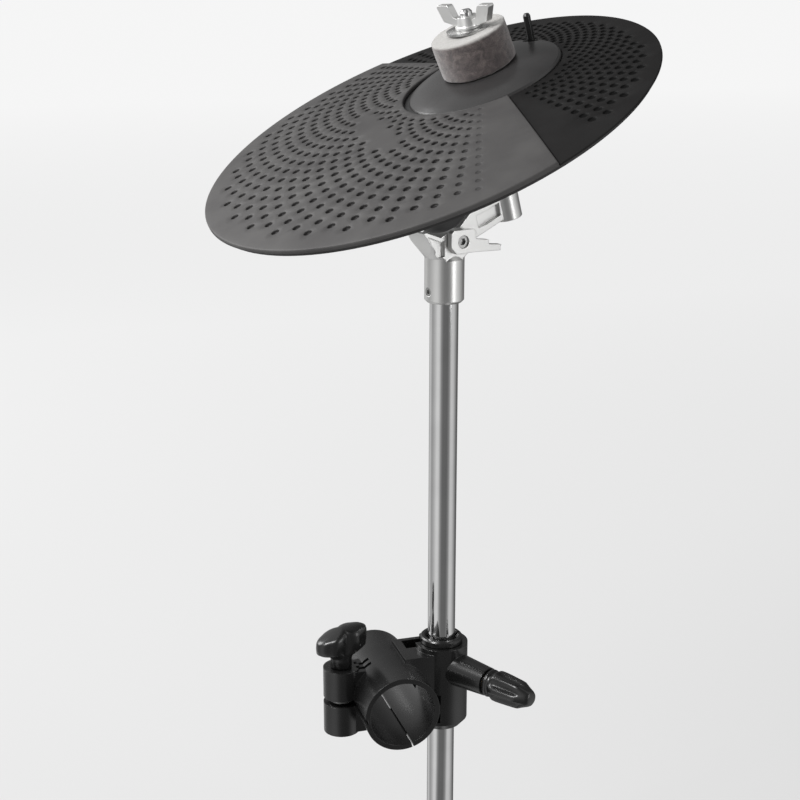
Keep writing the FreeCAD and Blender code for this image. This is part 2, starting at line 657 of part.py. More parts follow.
def wing_nut():
    """A coned hub on a round foot, with two wings that flare upwards."""
    foot = cylinder("nut_foot", as_size(7.2), 1.4, (0, 0, 11.3))
    hub = cone("nut_hub", 6.0, 5.2, 4.8, (0, 0, 12.7))
    wing = [
        (4.3, 12.3),
        (7.0, 12.3),
        (16.2, 14.8),
        (19.6, 22.4),
        (19.0, 23.4),
        (11.8, 23.4),
        (10.9, 22.7),
        (8.4, 16.8),
        (4.3, 15.6),
    ]
    right = extruded("nut_wing_right", wing, as_size(4.0))
    left = extruded("nut_wing_left", [(-x, z) for x, z in wing], as_size(4.0))
    solid = fuse("nut_solid", foot, hub, right, left)
    thread = cylinder("nut_thread", stem_radius + run_gap, 30, (0, 0, 10))
    frame = stem.multiply(turn_about(UP, nut_turn))
    finish("wing_nut", cut("wing_nut", solid, thread), frame)


# ---------------------------------------------------------------- pad
DOME_DROP = dome_crown - dome_radius


def dome_ball(name, offset):
    """A ball whose skin lies offset above the top of the base plate."""
    return ball(name, dome_radius + offset, (-pad_offset, 0, DOME_DROP))


def dome_cap(name, radius, low, high):
    """A domed round plate between two heights above the base plate's top."""
    disc = cylinder(name + "_disc", radius, 40, (-pad_offset, 0, -20))
    shell = cut(name + "_shell", dome_ball(name + "_outer", high), dome_ball(name + "_inner", low))
    return common(name, disc, shell)


def play_zone(name, slack, inset=0.0):
    """The sector of the pad that is struck, from the mount hole to beyond the rim."""
    lean = math.radians(-116.4)
    reach = 175.0
    points = [
        (4.0 - slack - inset, 0.0),
        (10.0 - slack - inset, 30.0),
        (10.0 - slack - inset, reach),
        (-230.0, reach),
        (-230.0, -reach),
        (4.0 - slack - inset + reach / math.sin(-lean) * math.cos(lean), -reach),
    ]
    return extruded(name, points, as_size(60.0), "XY_Plane")


def pin_hole(name):
    item = group(name, cylinder(name + "_drill", as_size(4.6), 40, (pin_across, 0, -30)))
    item.Placement = stem_in_pad
    return item


def bell_cap():
    points = [
        (8.65, bell_top),
        (felt_radius + 0.5, bell_top, -48),
        (bell_radius - 0.9, 5.2),
        (bell_radius, 4.0),
        (bell_radius, -2),
        (bell_radius - 3.4, -2),
        (bell_radius - 3.4, 3.2),
        (felt_radius - 0.5, bell_top - 2.6),
        (8.65, bell_top - 2.6),
    ]
    solid = revolved("bell_turned", points)
    finish("bell_cap", cut("bell_cap", solid, dome_ball("bell_seat", 0.05), pin_hole("bell_pin_hole")), pad)
    bush = [
        (7.0, bell_top),
        (8.6, bell_top),
        (8.6, bell_top - 2.65),
        (10.5, bell_top - 2.65),
        (10.5, bell_top - 3.8),
        (7.0, bell_top - 3.8),
    ]
    finish("bell_grommet", revolved("bell_grommet", bush), pad)


def pad_plates():
    screws = [screw_tool("base_screw_%d" % number, number) for number in range(4)]
    opening = cylinder("base_opening", bell_radius - 4.5, 40, (0, 0, -20))
    plate = dome_cap("base_cap", pad_radius - 3.2, -base_wall, as_size(0))
    finish("pad_base", cut("pad_base", plate, opening, pin_hole("base_pin_hole"), *screws), pad)

    skin = dome_cap("play_cap", pad_radius, as_size(0.05), play_skin)
    sector = common("play_sector", skin, play_zone("play_zone", 0.0))
    opening = cylinder("play_opening", bell_radius + 1.8, 40, (0, 0, -20))
    room = switch_ring("play_switch_room", as_size(-0.5), as_size(0.6), 0.5, 0.5)
    finish("playing_skin", cut("playing_skin", sector, opening, room), pad)

    skin = dome_cap("rear_cap", pad_radius, as_size(0.05), rear_skin)
    opening = cylinder("rear_opening", bell_radius + 0.3, 40, (0, 0, -20))
    zone = play_zone("rear_zone", -0.2)
    finish("rear_skin", cut("rear_skin", skin, zone, opening), pad)

    finish("edge_switch", switch_ring("edge_switch_strip", as_size(0.05), as_size(0.5), 0.0, 6.0), pad)

    inner = pad_radius - 3.1
    points = [
        (inner, -1.7),
        (inner + 0.8, -1.7),
        (inner + 1.3, -2.2),
        (inner + 1.3, -3.4),
        (inner + 0.8, -3.9),
        (inner - 6, -3.9),
        (inner - 6, -3.25),
        (inner, -3.25),
    ]
    finish("rim_guard", revolved("rim_guard", points), pad.multiply(shift(-pad_offset, 0, 0)))


def switch_ring(name, low, high, grow, inset):
    """A thin membrane strip that follows the rim of the playing zone."""
    shell = dome_cap(name + "_cap", as_size(118.0 + grow), low, high)
    inner = cylinder(name + "_inner", as_size(108.0 - grow), 40, (-pad_offset, 0, -20))
    return cut(name, common(name + "_sector", shell, play_zone(name + "_zone", 0.0, inset)), inner)


def screw_spot(number):
    angle = math.radians(90.0 * number + 45.0)
    reach = 32.8
    return (housing_x + reach * math.cos(angle), housing_y + reach * math.sin(angle))


def screw_top(number):
    """How high a screw reaches: into the base plate, short of its top."""
    spot = screw_spot(number)
    drop = (float(spot[0] + pad_offset) ** 2 + float(spot[1]) ** 2) / float(dome_radius) / 2
    return float(dome_crown) - drop - 0.5


def screw_tool(name, number):
    spot = screw_spot(number)
    foot = -4.5
    return cylinder(name, as_size(1.2), as_size(screw_top(number) - foot), (spot[0], spot[1], as_size(foot)))


def jack_place(across):
    """A point on the jack's axis, measured across from the housing's centre."""
    return (housing_x + across, housing_y, jack_level)


def sensor_housing():
    wall = 2.2
    points = [
        (0, -housing_depth),
        (9, -housing_depth, 9),
        (13, -housing_depth + 4.5),
        (30, -4.5),
        (36, -4.0),
        (36, 5),
        (30 - wall, 5),
        (30 - wall, -5),
        (13 - wall, -housing_depth + 5.3),
        (8, -housing_depth + wall),
        (0, -housing_depth + wall),
    ]
    bowl = revolved("housing_bowl", points)
    bowl.Placement = shift(housing_x, housing_y, 0)
    boss = cylinder("housing_boss", as_size(9.0), 12, jack_place(-18), ALONG_X * AWAY)
    hole = cylinder("housing_jack_hole", as_size(4.5), 30, jack_place(-8), ALONG_X * AWAY)
    room = box("housing_jack_room", (24, 12.6, 12.6), (housing_x - 17.2, housing_y - 6.3, jack_level - 6.3))
    solid = fuse("housing_solid", bowl, boss)
    keep = dome_ball("housing_keep", -base_wall - 0.05)
    screws = [screw_tool("housing_screw_%d" % number, number) for number in range(4)]
    drilled = cut("housing_drilled", solid, hole, room, *screws)
    finish("sensor_housing", common("sensor_housing", drilled, keep), pad)


def housing_contents():
    case = box("jack_case", (22, 12, 12), (housing_x - 17, housing_y - 6, jack_level - 6))
    snout = cylinder("jack_snout", as_size(4.4), 18, jack_place(-16), ALONG_X * AWAY)
    bore = cylinder("jack_bore", as_size(3.2), 40, jack_place(2), ALONG_X * AWAY)
    finish("jack_socket", cut("jack_socket", fuse("jack_solid", case, snout), bore), pad)
    nut = prism("jack_nut_hex", 6, as_size(7.2), 2.2, jack_place(-30.1), ALONG_X * AWAY)
    hole = cylinder("jack_nut_hole", as_size(4.45), 10, jack_place(-27), ALONG_X * AWAY)
    finish("jack_nut", cut("jack_nut", nut, hole), pad)
    board = box("board_plate", (34, 30, 1.6), (housing_x - 17, housing_y - 15, -7.4))
    chips = box("board_chips", (12, 8, 2), (housing_x - 4, housing_y - 4, -6.0))
    finish("circuit_board", group("circuit_board_group", fuse("circuit_board_solid", board, chips)), pad)
    disc = cylinder("piezo_disc", as_size(13.5), 0.6, (housing_x, housing_y, -1.2))
    finish("piezo_sensor", group("piezo_group", disc), pad)
    foam = cylinder("foam_disc", as_size(12.0), 1.4, (housing_x, housing_y, -0.6))
    finish("sensor_foam", group("foam_group", foam), pad)
    screws = []
    for number in range(4):
        spot = screw_spot(number)
        length = as_size(screw_top(number) + 4.5)
        shank = cylinder("screw_shank_%d" % number, as_size(1.2), length, (spot[0], spot[1], as_size(-4.5)))
        cap = cylinder("screw_cap_%d" % number, as_size(2.8), 1.6, (spot[0], spot[1], as_size(-6.1)))
        screws.append(fuse("screw_%d" % number, shank, cap))
    finish("housing_screws", group("housing_screw_set", *screws), pad)


def upper_felt():
    puck = cylinder("felt_puck", felt_radius, felt_height, (0, 0, bell_top + 0.1))
    bore = cylinder("felt_bore", stem_radius + 1.2, 60, (0, 0, -30))
    seat = cylinder("felt_seat", as_size(12.6), 20, (0, 0, 9.3))
    tools = fuse("felt_tools", bore, seat)
    tools.Placement = stem_in_pad
    finish("upper_felt", cut("upper_felt", puck, tools), pad)


clamp_body()
clamp_jaw()
clamp_hardware()
pinch_knob()
rod_knob()
rod_bush()
rod()
tilter_base()
pivot_hardware()
lock_lever()
tilter_arm()
cymbal_stem()
stem_stack()
wing_nut()
bell_cap()
pad_plates()
sensor_housing()
housing_contents()
upper_felt()

doc.recompute()

# ---------------------------------------------------------------- checks and export
for item in doc.Objects:
    if "Invalid" in item.State or "Error" in item.State:
        raise RuntimeError("%s failed: %s" % (item.Name, item.State))
for item in sub_parts:
    shape = item.Shape
    if shape.isNull() or not shape.isValid() or not shape.Solids:
        raise RuntimeError("%s has no sound solid" % item.Label)
os.makedirs("parts", exist_ok=True)
for item in sub_parts:
    item.Shape.exportStep("parts/%s.step" % item.Label)
    print("%-18s %2d solid  %10.1f mm3" % (item.Label, len(item.Shape.Solids), item.Shape.Volume))
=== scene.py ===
import math

import bmesh
import bpy
from mathutils import Matrix, Vector, geometry, noise


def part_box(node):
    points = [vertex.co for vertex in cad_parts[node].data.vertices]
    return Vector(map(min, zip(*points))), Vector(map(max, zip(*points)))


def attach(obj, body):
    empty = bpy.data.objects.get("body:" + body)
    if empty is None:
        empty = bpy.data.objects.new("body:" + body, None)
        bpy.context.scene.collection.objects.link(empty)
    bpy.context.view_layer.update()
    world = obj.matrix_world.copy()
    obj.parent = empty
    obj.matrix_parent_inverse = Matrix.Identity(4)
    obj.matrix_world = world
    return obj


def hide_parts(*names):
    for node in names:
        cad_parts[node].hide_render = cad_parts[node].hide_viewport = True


MM = 0.001
TURN = 2 * math.pi

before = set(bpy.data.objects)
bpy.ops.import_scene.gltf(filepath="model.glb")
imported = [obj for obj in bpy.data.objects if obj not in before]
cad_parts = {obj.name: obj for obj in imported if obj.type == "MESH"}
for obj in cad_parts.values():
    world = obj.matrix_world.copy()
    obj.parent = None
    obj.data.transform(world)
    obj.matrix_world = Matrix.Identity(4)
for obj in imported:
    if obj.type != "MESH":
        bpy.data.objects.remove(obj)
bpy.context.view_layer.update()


# ---------------------------------------------------------------- frames of the object
def shifted(x, y, z):
    return Matrix.Translation((x * MM, y * MM, z * MM))


def turned(degrees, axis):
    return Matrix.Rotation(math.radians(degrees), 4, axis)


HEAD = shifted(34, 0, 230) @ turned(16.8, "Z")
PAD = HEAD @ shifted(26.7, 0, 115.9) @ turned(-25.03, "Y")
STEM = PAD @ shifted(0, 0, 21.44) @ turned(9.53, "Y")

# ---------------------------------------------------------------- camera
CAMERA_PLACE = (-0.2253, -0.7655, 0.4097)
CAMERA_PITCH = 73.69
CAMERA_HEADING = -16.99
LENS = 67.5
SENSOR = 36
FAR_CLIP = 200

camera_data = bpy.data.cameras.new("camera")
camera_data.lens = LENS
camera_data.sensor_width = SENSOR
camera_data.clip_end = FAR_CLIP
camera = bpy.data.objects.new("camera", camera_data)
camera.location = CAMERA_PLACE
camera.rotation_euler = (math.radians(CAMERA_PITCH), 0, math.radians(CAMERA_HEADING))
bpy.context.scene.collection.objects.link(camera)
bpy.context.scene.camera = camera
bpy.context.scene.view_settings.view_transform = "Standard"


# ---------------------------------------------------------------- materials
def new_material(name):
    made = bpy.data.materials.new(name)
    made.use_nodes = True
    tree = made.node_tree
    return made, tree, tree.nodes["Principled BSDF"]


def add(tree, kind, **settings):
    node = tree.nodes.new(kind)
    for key, value in settings.items():
        setattr(node, key, value)
    return node


def noise_field(tree, scale, detail=4.0, stretch=(1, 1, 1), distortion=0.0):
    """Noise over the object's own coordinates; scale is in cycles per metre."""
    where = add(tree, "ShaderNodeTexCoord")
    mapping = add(tree, "ShaderNodeMapping")
    mapping.inputs["Scale"].default_value = stretch
    field = add(tree, "ShaderNodeTexNoise")
    field.inputs["Scale"].default_value = scale
    field.inputs["Detail"].default_value = detail
    field.inputs["Distortion"].default_value = distortion
    tree.links.new(where.outputs["Object"], mapping.inputs["Vector"])
    tree.links.new(mapping.outputs["Vector"], field.inputs["Vector"])
    return field.outputs["Fac"]


def ramp(tree, source, stops):
    """A colour ramp; stops are (place, colour or grey)."""
    node = add(tree, "ShaderNodeValToRGB")
    elements = node.color_ramp.elements
    elements.remove(elements[1])
    elements[0].position = stops[0][0]
    for number, (place, value) in enumerate(stops):
        element = elements.new(place) if number else elements[0]
        rgb = value if isinstance(value, tuple) else (value, value, value)
        element.color = (*rgb, 1)
    tree.links.new(source, node.inputs["Fac"])
    return node.outputs["Color"]


def bumps(tree, shader, layers, round_edges=0.0):
    """Stack bump layers (height socket, strength, distance in mm) on a shader's normal."""
    normal = None
    if round_edges:
        bevel = add(tree, "ShaderNodeBevel", samples=6)
        bevel.inputs["Radius"].default_value = round_edges * MM
        normal = bevel.outputs["Normal"]
    for height, strength, distance in layers:
        bump = add(tree, "ShaderNodeBump")
        bump.inputs["Strength"].default_value = strength
        bump.inputs["Distance"].default_value = distance * MM
        tree.links.new(height, bump.inputs["Height"])
        if normal is not None:
            tree.links.new(normal, bump.inputs["Normal"])
        normal = bump.outputs["Normal"]
    tree.links.new(normal, shader.inputs["Normal"])


def surface(name, dark, light, rough, metallic=0.0, blotch=60, grain=2500, grain_bump=0.15,
            grain_depth=0.05, coat=0.0, coat_rough=0.1, stretch=(1, 1, 1), edges=0.35):
    """A moulded, cast or plated surface: blotched colour, fine grain in roughness and relief,
    eased edges. Grain depth and edge radius are in mm."""
    made, tree, shader = new_material(name)
    wide = noise_field(tree, blotch, 5.0)
    fine = noise_field(tree, grain, 3.0, stretch)
    colour = ramp(tree, wide, [(0.3, dark), (0.7, light)])
    tree.links.new(colour, shader.inputs["Base Color"])
    gloss = ramp(tree, fine, [(0.25, rough[0]), (0.75, rough[1])])
    tree.links.new(gloss, shader.inputs["Roughness"])
    shader.inputs["Metallic"].default_value = metallic
    shader.inputs["Coat Weight"].default_value = coat
    shader.inputs["Coat Roughness"].default_value = coat_rough
    bumps(tree, shader, [(fine, grain_bump, grain_depth)], edges)
    return made


MATERIALS = {
    "chrome": surface("chrome", (0.70, 0.70, 0.70), (0.76, 0.76, 0.76), (0.05, 0.09), 1.0,
                      grain_bump=0.02, grain_depth=0.01, stretch=(1, 1, 0.1)),
    "cast": surface("cast_alloy", (0.72, 0.72, 0.71), (0.80, 0.80, 0.79), (0.30, 0.33), 0.95,
                    blotch=25, grain=900, grain_bump=0.015, grain_depth=0.02, edges=0.6),
    "steel": surface("zinc_steel", (0.42, 0.42, 0.42), (0.55, 0.55, 0.54), (0.2, 0.3), 1.0,
                     grain_bump=0.1, grain_depth=0.03),
    "wing": surface("nickel_wing", (0.68, 0.68, 0.67), (0.76, 0.76, 0.75), (0.33, 0.37), 0.85,
                    grain=900, grain_bump=0.03, grain_depth=0.02, edges=0.6),
    "brass": surface("brass", (0.45, 0.30, 0.12), (0.55, 0.38, 0.16), (0.2, 0.3), 1.0),
    "plastic": surface("clamp_plastic", (0.006, 0.006, 0.006), (0.011, 0.011, 0.011),
                       (0.25, 0.28), grain=1000, grain_bump=0.03, grain_depth=0.02,
                       coat=0.25, coat_rough=0.22, edges=0.6),
    "housing": surface("housing_plastic", (0.012, 0.012, 0.012), (0.018, 0.018, 0.018),
                       (0.38, 0.5), grain_bump=0.25, grain_depth=0.05),
    "black": surface("black_rod", (0.008, 0.008, 0.008), (0.013, 0.013, 0.013), (0.25, 0.35)),
    "bell": surface("bell_plastic", (0.028, 0.027, 0.027), (0.036, 0.035, 0.035),
                    (0.26, 0.33), grain=2600, grain_bump=0.12, grain_depth=0.04),
    "board": surface("board_green", (0.01, 0.09, 0.035), (0.015, 0.12, 0.05), (0.3, 0.4)),
    "film": surface("switch_film", (0.30, 0.19, 0.05), (0.36, 0.23, 0.07), (0.25, 0.35)),
    "base": surface("pad_base", (0.018, 0.018, 0.018), (0.026, 0.026, 0.026), (0.4, 0.5)),
}


def rubber(name, dark, light, inside, shine=0.25):
    """Moulded rubber, mottled. Painted shade: the colour 'inside' darkens the dimple floors as far
    as the mesh's painted-light attribute asks.
    """
    made, tree, shader = new_material(name)
    wide = noise_field(tree, 45, 5.0)
    fine = noise_field(tree, 3200, 3.0)
    tint = ramp(tree, wide, [(0.3, dark), (0.7, light)])
    # Painted shade: the mesh attribute mixes the colour 'inside' into the recessed dimple floors.
    painted_light = add(tree, "ShaderNodeAttribute", attribute_name="painted_light")
    mix = add(tree, "ShaderNodeMix", data_type="RGBA")
    tree.links.new(painted_light.outputs["Fac"], mix.inputs["Factor"])
    tree.links.new(tint, mix.inputs["A"])
    mix.inputs["B"].default_value = (*inside, 1)
    tree.links.new(mix.outputs["Result"], shader.inputs["Base Color"])
    gloss = ramp(tree, fine, [(0.2, 0.5), (0.8, 0.62)])
    tree.links.new(gloss, shader.inputs["Roughness"])
    shader.inputs["Specular IOR Level"].default_value = shine
    bumps(tree, shader, [(wide, 0.1, 0.3), (fine, 0.3, 0.06)])
    return made


# The last colour of each rubber is the painted shade of its dimple floors.
MATERIALS["playing"] = rubber("playing_rubber", (0.052, 0.050, 0.050), (0.070, 0.068, 0.067),
                              (0.014, 0.013, 0.013))
MATERIALS["rear"] = rubber("rear_rubber", (0.010, 0.0095, 0.0095), (0.015, 0.0145, 0.0145),
                           (0.002, 0.002, 0.002), 0.1)
MATERIALS["guard"] = rubber("guard_rubber", (0.028, 0.027, 0.027), (0.036, 0.035, 0.035),
                            (0.01, 0.01, 0.01))


def felt_material(name, shades, pale=None):
    """Pressed wool felt; the 'pale' colours are a painted highlight, laid on the face where the
    mesh's painted-light attribute is set.
    """
    made, tree, shader = new_material(name)
    cloud = noise_field(tree, 260, 6.0, distortion=0.6)
    fibre = noise_field(tree, 1800, 4.0, (1, 1, 1.6), 1.2)
    blend = add(tree, "ShaderNodeMix", data_type="FLOAT")
    blend.inputs["Factor"].default_value = 0.45
    tree.links.new(cloud, blend.inputs["A"])
    tree.links.new(fibre, blend.inputs["B"])
    colour = ramp(tree, blend.outputs["Result"], [(0.36, shades[0]), (0.5, shades[1]),
                                                  (0.64, shades[2])])
    if pale:
        # Painted highlight: paler colours on the upper face, standing in for top light.
        face = add(tree, "ShaderNodeAttribute", attribute_name="painted_light")
        mix = add(tree, "ShaderNodeMix", data_type="RGBA")
        tree.links.new(face.outputs["Fac"], mix.inputs["Factor"])
        tree.links.new(colour, mix.inputs["A"])
        lighter = ramp(tree, fibre, [(0.3, pale[0]), (0.7, pale[1])])
        tree.links.new(lighter, mix.inputs["B"])
        colour = mix.outputs["Result"]
    tree.links.new(colour, shader.inputs["Base Color"])
    shader.inputs["Roughness"].default_value = 0.95
    shader.inputs["Specular IOR Level"].default_value = 0.15
    shader.inputs["Sheen Weight"].default_value = 0.5
    shader.inputs["Sheen Roughness"].default_value = 0.6
    bumps(tree, shader, [(cloud, 0.5, 0.6), (fibre, 0.7, 0.35)])
    return made


# The last pair of colours is the painted highlight of the top felt's upper face.
MATERIALS["felt"] = felt_material("felt", ((0.03, 0.022, 0.022), (0.075, 0.058, 0.056),
                                           (0.16, 0.13, 0.12)),
                                  ((0.26, 0.25, 0.24), (0.42, 0.41, 0.39)))
MATERIALS["foam"] = felt_material("foam", ((0.05, 0.05, 0.05), (0.08, 0.08, 0.08),
                                           (0.12, 0.12, 0.12)))

NODE_MATERIALS = {
    "chrome": ("stand_rod", "cymbal_rod", "pinch_bolt"),
    "cast": ("tilter_base", "tilter_arm", "tilt_lock_lever"),
    "steel": ("pivot_bolt", "pivot_nut", "socket_set_screw", "holder_set_screw", "seat_washer",
              "jaw_hinge_pin", "pinch_nut", "pinch_washer", "rod_clamp_bolt",
              "stopper_set_screw", "housing_screws", "jack_nut", "felt_washer"),
    "wing": ("wing_nut",),
    "brass": ("rod_knob_insert", "piezo_sensor"),
    "plastic": ("clamp_body", "clamp_jaw", "pinch_knob", "rod_knob", "rod_bush",
                "rod_end_cap"),
    "housing": ("sensor_housing", "jack_socket", "bell_grommet"),
    "black": ("stopper_collar", "stopper_pin"),
    "bell": ("bell_cap",),
    "board": ("circuit_board",),
    "film": ("edge_switch",),
    "base": ("pad_base",),
    "guard": ("rim_guard",),
}
for key, names in NODE_MATERIALS.items():
    for name in names:
        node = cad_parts[name]
        node.data.materials.clear()
        node.data.materials.append(MATERIALS[key])


# ---------------------------------------------------------------- mesh helpers
def put(name, bm, material, matrix, body, replaced):
    """Turn a bmesh into a piece that rides on its body and stands for CAD nodes."""
    bmesh.ops.recalc_face_normals(bm, faces=bm.faces)
    mesh = bpy.data.meshes.new(name)
    bm.to_mesh(mesh)
    bm.free()
    mesh.transform(matrix)
    for face in mesh.polygons:
        face.use_smooth = True
    mesh.materials.append(MATERIALS[material])
    made = bpy.data.objects.new(name, mesh)
    bpy.context.scene.collection.objects.link(made)
    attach(made, body)
    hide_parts(*replaced)
    return made


def upright(name, height=0.0):
    """A frame on the vertical axis of a CAD node's box, at a height in metres."""
    low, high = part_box(name)
    return Matrix.Translation(((low.x + high.x) / 2, (low.y + high.y) / 2, height))


def bridge(bm, one, two, sides):
    """Faces between two rings of vertices; a ring of one vertex is a point on the axis."""
    for i in range(sides):
        j = (i + 1) % sides
        corners = [one[i % len(one)], one[j % len(one)], two[j % len(two)], two[i % len(two)]]
        unique = [c for k, c in enumerate(corners) if c not in corners[:k]]
        if len(unique) > 2:
            bm.faces.new(unique)


def to_metres(bm):
    """Scale a bmesh made in mm."""
    for v in bm.verts:
        v.co *= MM


# ---------------------------------------------------------------- the dimpled skins
DISC_X = -43.3
RIM_R = 127.0
DOME_R = 1350.0
DOME_TOP = 4.3
COLUMNS = 84
MOST_RINGS = 30
DIMPLE_SIDES = 14
# share of the radius, share of the depth, how dark the painted shade makes the ring
DIMPLE_PROFILE = ((0.965, 0.06, 0.25), (0.90, 0.25, 0.7), (0.84, 0.6, 1.0), (0.74, 0.9, 1.0),
                  (0.45, 1.0, 1.0))


def dome_height(x, y, above):
    """Height of the dome, 'above' mm over the base plate's top, in the pad's frame."""
    radius = DOME_R + above
    return DOME_TOP - DOME_R + math.sqrt(radius * radius - (x - DISC_X) ** 2 - y * y)


def rim_reach(angle):
    """Distance from the mount axis to the rim in a direction."""
    across = DISC_X * math.sin(angle)
    return DISC_X * math.cos(angle) + math.sqrt(RIM_R * RIM_R - across * across)


def arc(cx, cy, radius, start, end, step):
    """Points along an arc, ends included; angles in radians, either way round."""
    count = max(2, int(abs(end - start) * radius / step))
    angles = [start + (end - start) * i / count for i in range(count + 1)]
    return [(cx + radius * math.cos(a), cy + radius * math.sin(a)) for a in angles]


def run(a, b, step):
    """Points along a straight run, ends left out."""
    length = math.dist(a, b)
    count = max(1, int(length / step))
    return [(a[0] + (b[0] - a[0]) * i / count, a[1] + (b[1] - a[1]) * i / count)
            for i in range(1, count)]


def hit_circle(start, direction, cx, cy, radius):
    """Where a ray leaves a circle."""
    px, py = start[0] - cx, start[1] - cy
    dot = px * direction[0] + py * direction[1]
    far = -dot + math.sqrt(dot * dot - px * px - py * py + radius * radius)
    return (start[0] + direction[0] * far, start[1] + direction[1] * far)


CELL = 8
GRID = 4.0
CORNER = (4.0, 0.0)
FRONT_END = (-82.9, -175.0)
BACK_TURN = (10.0, 30.0)
PATCH_ENDS = ((-54.0, 45.0), (-76.0, -15.0))
PATCH_HALF = 7.0
OPENING_SHIFT = (-0.9, 0.9)
front_length = math.dist(CORNER, FRONT_END)
FRONT_WAY = ((FRONT_END[0] - CORNER[0]) / front_length, (FRONT_END[1] - CORNER[1]) / front_length)
FRONT_ANGLE = math.atan2(FRONT_WAY[1], FRONT_WAY[0])


def zone_outline(side, rim, opening, gap, step=2.4):
    """The closed outline of one skin. side is -1 for the playing skin and 1 for the rear one."""
    across = (-FRONT_WAY[1], FRONT_WAY[0])
    corner = (CORNER[0] + across[0] * gap * side, CORNER[1] + across[1] * gap * side)
    back_x = BACK_TURN[0] + gap * side
    ox, oy = OPENING_SHIFT if side < 0 else (0.0, 0.0)
    front_in = hit_circle(corner, FRONT_WAY, ox, oy, opening)
    front_out = hit_circle(corner, FRONT_WAY, DISC_X, 0, rim)
    back_in = (back_x, oy + math.sqrt(opening ** 2 - (back_x - ox) ** 2))
    back_out = (back_x, math.sqrt(rim ** 2 - (back_x - DISC_X) ** 2))
    turn_in = [math.atan2(p[1] - oy, p[0] - ox) for p in (back_in, front_in)]
    turn_out = [math.atan2(p[1], p[0] - DISC_X) for p in (front_out, back_out)]
    if side < 0:
        turn_in[1] += TURN
        turn_out[0] += TURN
    loop = arc(ox, oy, opening, turn_in[0], turn_in[1], step)
    loop += run(front_in, front_out, step)
    loop += arc(DISC_X, 0, rim, turn_out[0], turn_out[1], step)
    loop += run(back_out, back_in, step)
    return loop


def inside(point, loop):
    """Whether a point lies inside a closed outline."""
    x, y = point
    found = False
    for (ax, ay), (bx, by) in zip(loop, loop[1:] + loop[:1]):
        if (ay > y) != (by > y) and x < (bx - ax) * (y - ay) / (by - ay) + ax:
            found = not found
    return found


def inset(loop, distance):
    """The loop moved inwards by a small distance."""
    area = sum(a[0] * b[1] - b[0] * a[1] for a, b in zip(loop, loop[1:] + loop[:1]))
    turn = 1 if area > 0 else -1
    moved = []
    for before, here, after in zip(loop[-1:] + loop[:-1], loop, loop[1:] + loop[:1]):
        one = Vector((here[0] - before[0], here[1] - before[1])).normalized()
        two = Vector((after[0] - here[0], after[1] - here[1])).normalized()
        normal = Vector((-(one.y + two.y), one.x + two.x)) * turn
        normal.normalize()
        moved.append((here[0] + normal.x * distance, here[1] + normal.y * distance))
    return moved


def sorted_holes(holes):
    """Holes by the square cell that their centre lies in."""
    cells = {}
    for x, y, radius, _ in holes:
        cells.setdefault((int(x // CELL), int(y // CELL)), []).append((x, y, radius))
    return cells


def near_holes(cells, x, y):
    """The holes in a point's own cell and the eight around it."""
    return [hole for i in (-1, 0, 1) for j in (-1, 0, 1)
            for hole in cells.get((int(x // CELL) + i, int(y // CELL) + j), ())]


def triangulate(loop, holes, spare):
    """Triangles that fill the loop outside the holes. Holes are (x, y, radius, points)."""
    points = [Vector(p) for p in loop]
    edges = [(i, (i + 1) % len(loop)) for i in range(len(loop))]
    for _, _, _, ring in holes:
        first = len(points)
        points += [Vector(p) for p in ring]
        edges += [(first + i, first + (i + 1) % len(ring)) for i in range(len(ring))]
    points += [Vector(p) for p in spare]
    verts, _, faces, origins, _, _ = geometry.delaunay_2d_cdt(points, edges, [], 0, 1e-5)
    place = {source: new for new, sources in enumerate(origins) for source in sources}
    cells = sorted_holes(holes)
    kept = []
    for face in faces:
        cx = sum(verts[i].x for i in face) / 3
        cy = sum(verts[i].y for i in face) / 3
        if any(math.dist((cx, cy), h[:2]) < h[2] * 0.97 for h in near_holes(cells, cx, cy)):
            continue
        if inside((cx, cy), loop):
            kept.append(face)
    return verts, kept, place


def dimples(side, nearest, farthest, margin, pitch, depth):
    """Centres, radii and depths of one zone's dimples. They run from the radius 'nearest' to the
    share 'farthest' of the way to the rim, 'pitch' of that way apart, and 'margin' inside it."""
    found = []
    for column in range(COLUMNS):
        angle = (column + 0.5) * TURN / COLUMNS - math.pi
        reach = rim_reach(angle)
        for ring in range(MOST_RINGS):
            share = farthest - pitch * (ring + (column % 2) / 2)
            r = share * reach
            if r < nearest:
                break
            x, y = r * math.cos(angle), r * math.sin(angle)
            beside = (x - CORNER[0]) * -FRONT_WAY[1] + (y - CORNER[1]) * FRONT_WAY[0]
            if math.hypot(x - DISC_X, y) > RIM_R - margin:
                continue
            outward = min(1.0, max(0.0, (r - 45) / 55))
            radius = (1.6 if side < 0 else 1.85) + 0.75 * outward
            turn_from_front = (angle - FRONT_ANGLE + math.pi) % TURN - math.pi
            fade = 1.0
            if side < 0:
                if x > BACK_TURN[0] - 3.2 or (y < 0 and beside > -6):
                    continue
                if y < 0:
                    fade = min(1.0, max(0.0, (-math.degrees(turn_from_front) - 11) / 18))
                if plain_patch(x, y):
                    continue
            else:
                if x < BACK_TURN[0] + 3.2 and y > 0:
                    continue
                if y < 0 and math.degrees(turn_from_front) < 14:
                    continue
            if fade < 0.08:
                continue
            found.append((x, y, radius * (0.75 + 0.25 * fade), depth * fade))
    return found


def plain_patch(x, y):
    """Whether a point lies in the small plain patch of the playing skin."""
    (ax, ay), (bx, by) = PATCH_ENDS
    length = math.dist((ax, ay), (bx, by))
    along = ((x - ax) * (bx - ax) + (y - ay) * (by - ay)) / length
    beside = ((x - ax) * (by - ay) - (y - ay) * (bx - ax)) / length
    return 0 < along < length and abs(beside) < PATCH_HALF


